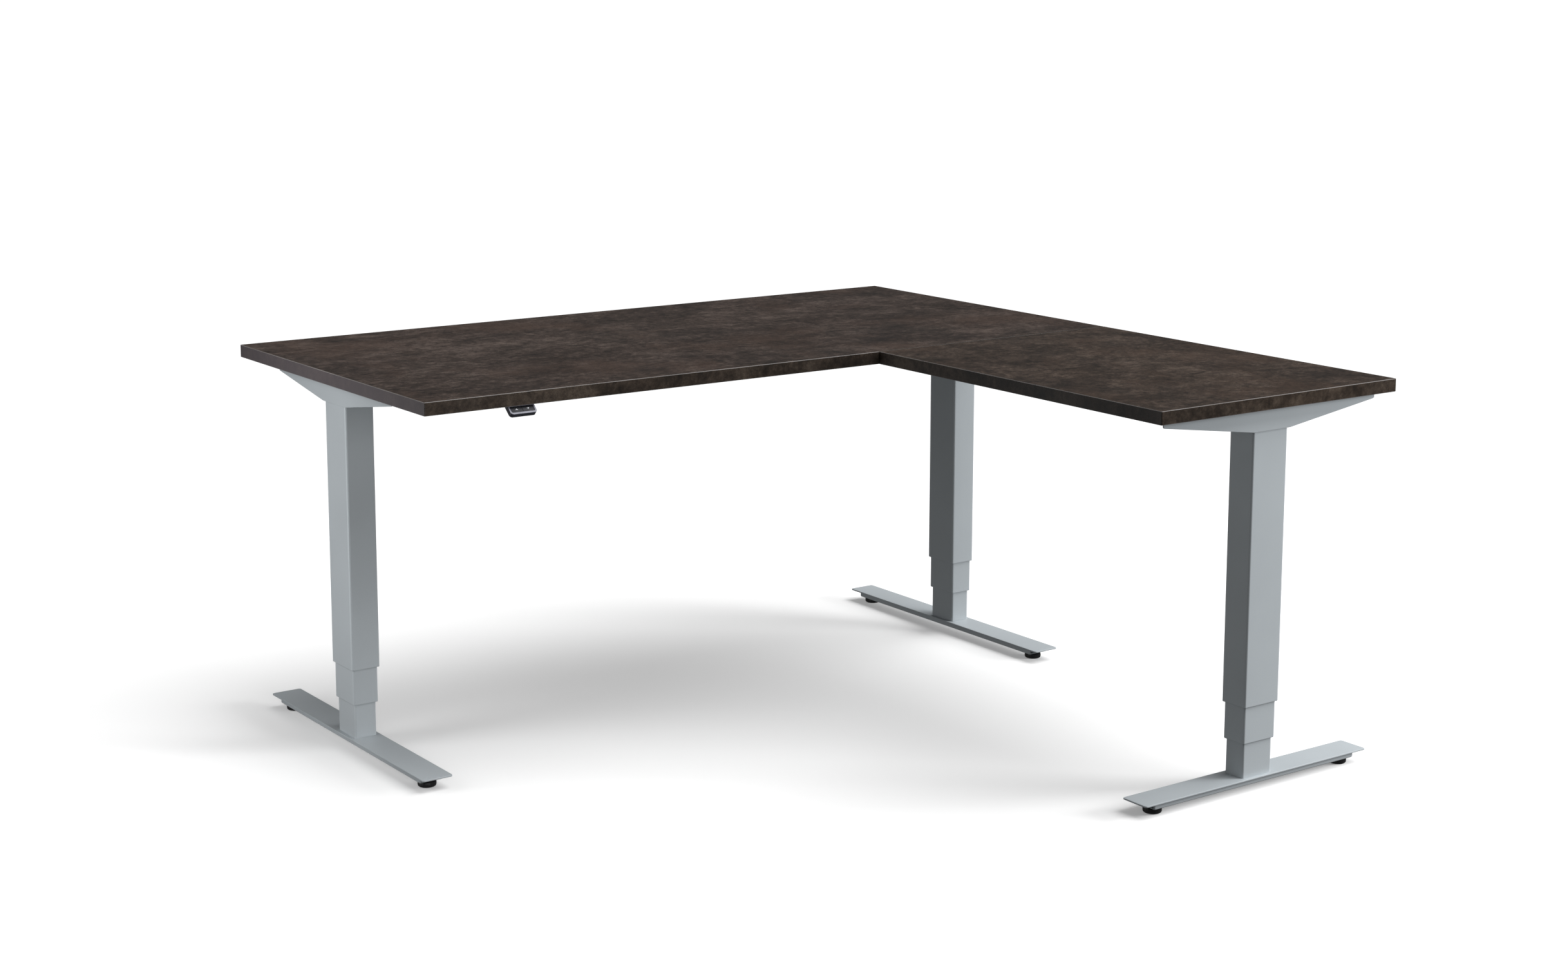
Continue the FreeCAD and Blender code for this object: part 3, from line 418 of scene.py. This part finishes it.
def glide(node):
    """A levelling glide: domed foot with a gripping rim, and a threaded stud."""
    low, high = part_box(node)
    middle = (low + high) / 2
    radius = (high.x - low.x) / 2
    rim = 0.0121
    mesh = bmesh.new()
    profile = [
        (radius - 0.0045, 0.0),
        (radius - 0.0022, 0.0004),
        (radius - 0.0006, 0.0018),
        (radius, 0.0038),
        (radius, 0.0078),
        (radius - 0.0005, 0.0096),
        (radius - 0.0022, 0.0106),
        (0.0105, 0.0110),
        (0.0085, 0.0115),
        (0.0078, rim),
        (0.0040, rim),
    ]

    def grip(index, angle):
        return 1 - 0.022 * max(0.0, math.cos(24 * angle)) if index in (3, 4, 5) else 1

    at = Matrix.Translation((middle.x, middle.y, low.z))
    turned(mesh, profile, at, 96, grip)
    tall = high.z - low.z
    ridges = threaded(0.0123, tall - 0.001, 0.0034, 0.004, 0.00125)
    steel = bmesh.new()
    turned(steel, [(0.0036, 0.0115), *ridges, (0.0032, tall)], at, 32)
    piece_from(f"{node}_stud", steel, zinc, node, "glide_plastic")
    piece_from(f"{node}_foot", mesh, black_plastic, node, "glide_plastic", node)


def screw_places():
    """The middle of each separate screw in the CAD node."""
    loose = bmesh.new()
    loose.from_mesh(frame["nodes"]["wood_screws"].data)
    bmesh.ops.remove_doubles(loose, verts=loose.verts, dist=1e-6)
    places = set()
    seen = set()
    for start in loose.verts:
        if start in seen:
            continue
        island = [start]
        seen.add(start)
        for vertex in island:
            for edge in vertex.link_edges:
                other = edge.other_vert(vertex)
                if other not in seen:
                    seen.add(other)
                    island.append(other)
        xs = [vertex.co.x for vertex in island]
        ys = [vertex.co.y for vertex in island]
        places.add((round((min(xs) + max(xs)) / 2, 5), round((min(ys) + max(ys)) / 2, 5)))
    loose.free()
    return sorted(places)


def screws():
    """Pan head screws with a six-lobed recess, one at each place where the CAD has one."""
    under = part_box("wood_screws")[0].z + SCREW_HEAD_TALL
    recess = 6

    def lobes(index, angle):
        return 1 + 0.14 * math.cos(6 * angle) if index >= recess else 1

    profile = [
        (0.0025, -0.012),
        (0.0025, 0.0),
        (0.0048, 0.0),
        (0.0048, 0.0009),
        (0.0042, 0.0022),
        (0.0030, 0.0029),
        (0.0021, 0.0030),
        (0.0021, 0.0012),
        (0.0012, 0.0010),
    ]
    mesh = bmesh.new()
    head_down = Matrix.Rotation(math.pi, 4, "X")
    for x, y in screw_places():
        driven = Matrix.Rotation(x * 97 + y * 31, 4, "Z")
        turned(mesh, profile, Matrix.Translation((x, y, under)) @ head_down @ driven, 36, lobes)
    piece_from("pan_head_screws", mesh, zinc, "desk", "zinc_steel", "wood_screws")


def motor(side):
    """A geared motor's can: rolled ends, an end cap with a bearing boss, and three cap screws."""
    node = f"{side}_motor"
    low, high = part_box(node)
    centre = (low + high) / 2
    column = (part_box(f"{side}_outer_tube")[0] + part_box(f"{side}_outer_tube")[1]) / 2
    away = Vector((centre.x - column.x, centre.y - column.y, 0)).normalized()
    length = max(high.x - low.x, high.y - low.y)
    radius = (high.z - low.z) / 2
    axis = away.to_track_quat("Z", "Y").to_matrix().to_4x4()
    base = centre - away * length / 2
    at = Matrix.Translation(base) @ axis
    can = bmesh.new()
    start = 0.008
    end = length - 0.0035
    profile = [
        (0.012, 0.0),
        (0.012, start - 0.0004),
        (radius - 0.0026, start),
        (radius - 0.0006, start + 0.0009),
        (radius, start + 0.0026),
        (radius, start + 0.010),
        (radius - 0.0008, start + 0.0108),
        (radius - 0.0008, start + 0.0125),
        (radius - 0.0002, start + 0.0133),
        (radius - 0.0002, end - 0.0160),
        (radius - 0.0009, end - 0.0150),
        (radius - 0.0009, end - 0.0132),
        (radius, end - 0.0122),
        (radius, end - 0.0028),
        (radius - 0.0010, end - 0.0008),
        (radius - 0.0034, end),
        (0.0125, end),
        (0.0118, end + 0.0006),
        (0.0110, length - 0.0006),
        (0.0100, length),
        (0.0036, length),
        (0.0030, length - 0.0012),
    ]
    turned(can, profile, at, 72)
    piece_from(f"{side}_motor_can", can, motor_coat, "desk", "motor_can", node)
    heads = bmesh.new()
    head = [(0.0024, -0.0005), (0.0024, 0.0011), (0.0019, 0.0018), (0.0012, 0.0018), (0.0011, 0.0008)]
    reach = 0.0172
    for step in range(3):
        angle = math.radians(30 + 120 * step)
        spot = Matrix.Translation((reach * math.cos(angle), reach * math.sin(angle), end))
        turned(heads, head, at @ spot, 18)
    piece_from(f"{side}_motor_screws", heads, zinc, "desk", "zinc_steel")


def copy_of(node, name, material, slot, width):
    """A piece with the node's shape and rounded edges."""
    source = frame["nodes"][node]
    mesh = bmesh.new()
    mesh.from_mesh(source.data)
    bmesh.ops.remove_doubles(mesh, verts=mesh.verts, dist=1e-6)
    bmesh.ops.dissolve_limit(
        mesh, angle_limit=math.radians(1), verts=mesh.verts, edges=mesh.edges, delimit={"NORMAL"}
    )
    piece = piece_from(name, mesh, material, source["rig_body"], slot, node)
    piece.modifiers.clear()
    bevel = piece.modifiers.new("Rounding", "BEVEL")
    bevel.width = width
    bevel.segments = 3
    bevel.limit_method = "ANGLE"
    bevel.angle_limit = math.radians(30)
    bevel.harden_normals = True


def chevron(name, button, points_up):
    """A printed chevron standing a hair above its button."""
    low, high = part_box(button)
    along = Vector((0, math.cos(HANDSET_TILT), math.sin(HANDSET_TILT)))
    out = Vector((0, -math.sin(HANDSET_TILT), math.cos(HANDSET_TILT)))
    across = Vector((1, 0, 0))
    key = frame["nodes"][button]
    corners = [key.matrix_world @ vertex.co for vertex in key.data.vertices]
    top = max(corner.dot(out) for corner in corners)
    ways = [corner.dot(along) for corner in corners]
    mid = (min(ways) + max(ways)) / 2
    centre = across * (low.x + high.x) / 2 + along * mid + out * (top + 0.00002)
    half, rise, stroke = 0.0022, 0.0026, 0.0012
    sign = 1 if points_up else -1
    outline = [
        (-half, -rise / 2),
        (0, rise / 2),
        (half, -rise / 2),
        (half - stroke * 0.55, -rise / 2 - stroke * 0.75),
        (0, rise / 2 - stroke * 1.45),
        (-half + stroke * 0.55, -rise / 2 - stroke * 0.75),
    ]
    mesh = bmesh.new()
    layers = []
    for height in (-0.0001, 0.0001):
        points = [centre + across * x + along * (y + 0.0004) * sign + out * height for x, y in outline]
        layers.append([mesh.verts.new(point) for point in points])
    count = len(outline)
    for index in range(count):
        following = (index + 1) % count
        mesh.faces.new((layers[0][index], layers[0][following], layers[1][following], layers[1][index]))
    for layer in layers:
        mesh.faces.new((layer[0], layer[1], layer[4], layer[5]))
        mesh.faces.new((layer[1], layer[2], layer[3], layer[4]))
    piece_from(name, mesh, mark_print, button, "button_rubber")


for joint in frame["joints"]:
    if joint["child"].endswith("_glide"):
        glide(joint["child"])
screws()
for side in SIDES:
    motor(side)
copy_of("handset_body", "handset_shell", handset_plastic, "handset_plastic", 0.0010)
copy_of("handset_bezel", "handset_rim", bezel_plastic, "bezel_plastic", 0.00045)
copy_of("up_button", "up_key", button_rubber, "button_rubber", 0.00035)
copy_of("down_button", "down_key", button_rubber, "button_rubber", 0.00035)
chevron("up_mark", "up_button", True)
chevron("down_mark", "down_button", False)


# ---- studio ----

FRAME_WIDTH = 2435
FOCAL_PIXELS = 3832.7


def aimed(name, data, place, target):
    """Puts a light in the scene, turned towards a point."""
    light = bpy.data.objects.new(name, data)
    light.location = place
    light.rotation_mode = "QUATERNION"
    light.rotation_quaternion = (Vector(target) - Vector(place)).to_track_quat("-Z", "Y")
    light.visible_camera = False
    bpy.context.scene.collection.objects.link(light)
    return light


def area_light(name, place, target, size, power, beam=180):
    """A soft rectangular light aimed at a point, with the angle of its beam in degrees."""
    data = bpy.data.lights.new(name, "AREA")
    data.shape = "RECTANGLE"
    data.size, data.size_y = size
    data.energy = power
    data.spread = math.radians(beam)
    return aimed(name, data, place, target)


def far_light(name, azimuth, elevation, spread, strength):
    """A soft light from far away. Azimuth 0 is in front of the desk and 90 to its right."""
    data = bpy.data.lights.new(name, "SUN")
    data.energy = strength
    data.angle = math.radians(spread)
    turn, rise = math.radians(azimuth), math.radians(elevation)
    place = (4 * math.sin(turn) * math.cos(rise), -4 * math.cos(turn) * math.cos(rise), 4 * math.sin(rise))
    aimed(name, data, place, (0, 0, 0))


def studio():
    """A wide pale floor, a white surround and soft lights."""
    mesh = bmesh.new()
    bmesh.ops.create_circle(mesh, cap_ends=True, segments=96, radius=150)
    data = bpy.data.meshes.new("floor")
    mesh.to_mesh(data)
    mesh.free()
    floor = bpy.data.objects.new("floor", data)
    floor.location.z = cad_low.z - 0.0002
    floor.visible_diffuse = False
    floor.visible_glossy = False
    glow = {"emission_color": WHITE, "emission_strength": 0.24}
    paper = Shade("studio_paper", roughness=0.9, specular_ior_level=0.1, **glow)
    tone = paper.mix(paper.noise(1.5, 3), (0.82, 0.82, 0.82), (0.84, 0.84, 0.84))
    data.materials.append(paper.use(base_color=tone))
    bpy.context.scene.collection.objects.link(floor)

    world = bpy.data.worlds.new("studio")
    world.use_nodes = True
    tree = world.node_tree
    seen = tree.nodes.new("ShaderNodeLightPath")
    dim = tree.nodes["Background"]
    dim.inputs["Color"].default_value = WHITE
    dim.inputs["Strength"].default_value = 0.13
    white = tree.nodes.new("ShaderNodeBackground")
    white.inputs["Color"].default_value = WHITE
    choice = tree.nodes.new("ShaderNodeMixShader")
    tree.links.new(seen.outputs["Is Camera Ray"], choice.inputs[0])
    tree.links.new(dim.outputs[0], choice.inputs[1])
    tree.links.new(white.outputs[0], choice.inputs[2])
    tree.links.new(choice.outputs[0], tree.nodes["World Output"].inputs["Surface"])
    bpy.context.scene.world = world
    bpy.context.scene.view_settings.view_transform = "Standard"

    far_light("ceiling", 60, 62, 60, 3.3)
    key = area_light("key", (3.3, -2.5, 1.12), (0.2, 0.0, 0.4), (1.2, 0.9), 128)
    key.visible_glossy = False
    area_light("left_strip", (-1.55, 0.5, 0.58), (-0.77, 0.43, 0.45), (0.4, 1.2), 2.8, 110)
    area_light("front_fill", (-1.3, -2.2, 0.5), (-0.77, 0.43, 0.35), (0.5, 0.7), 0.8, 40)


def camera():
    """The camera, with a small downward shift that keeps the uprights nearly upright."""
    yaw, pitch, roll = math.radians(35.905), math.radians(9.18), math.radians(0.196)
    forward = Vector((math.sin(yaw) * math.cos(pitch), math.cos(yaw) * math.cos(pitch), -math.sin(pitch)))
    right = Vector((math.cos(yaw), -math.sin(yaw), 0))
    up = right.cross(forward)
    right_rolled = right * math.cos(roll) + up * math.sin(roll)
    up_rolled = up * math.cos(roll) - right * math.sin(roll)
    rotation = Matrix((right_rolled, up_rolled, -forward)).transposed()
    data = bpy.data.cameras.new("camera")
    data.sensor_width = 36
    data.lens = FOCAL_PIXELS / FRAME_WIDTH * data.sensor_width
    data.shift_x = -40 / FRAME_WIDTH
    data.shift_y = -200 / FRAME_WIDTH
    made = bpy.data.objects.new("camera", data)
    made.matrix_world = Matrix.Translation((-2.7411, -3.8282, 1.5132)) @ rotation.to_4x4()
    bpy.context.scene.collection.objects.link(made)
    bpy.context.scene.camera = made


studio()
camera()
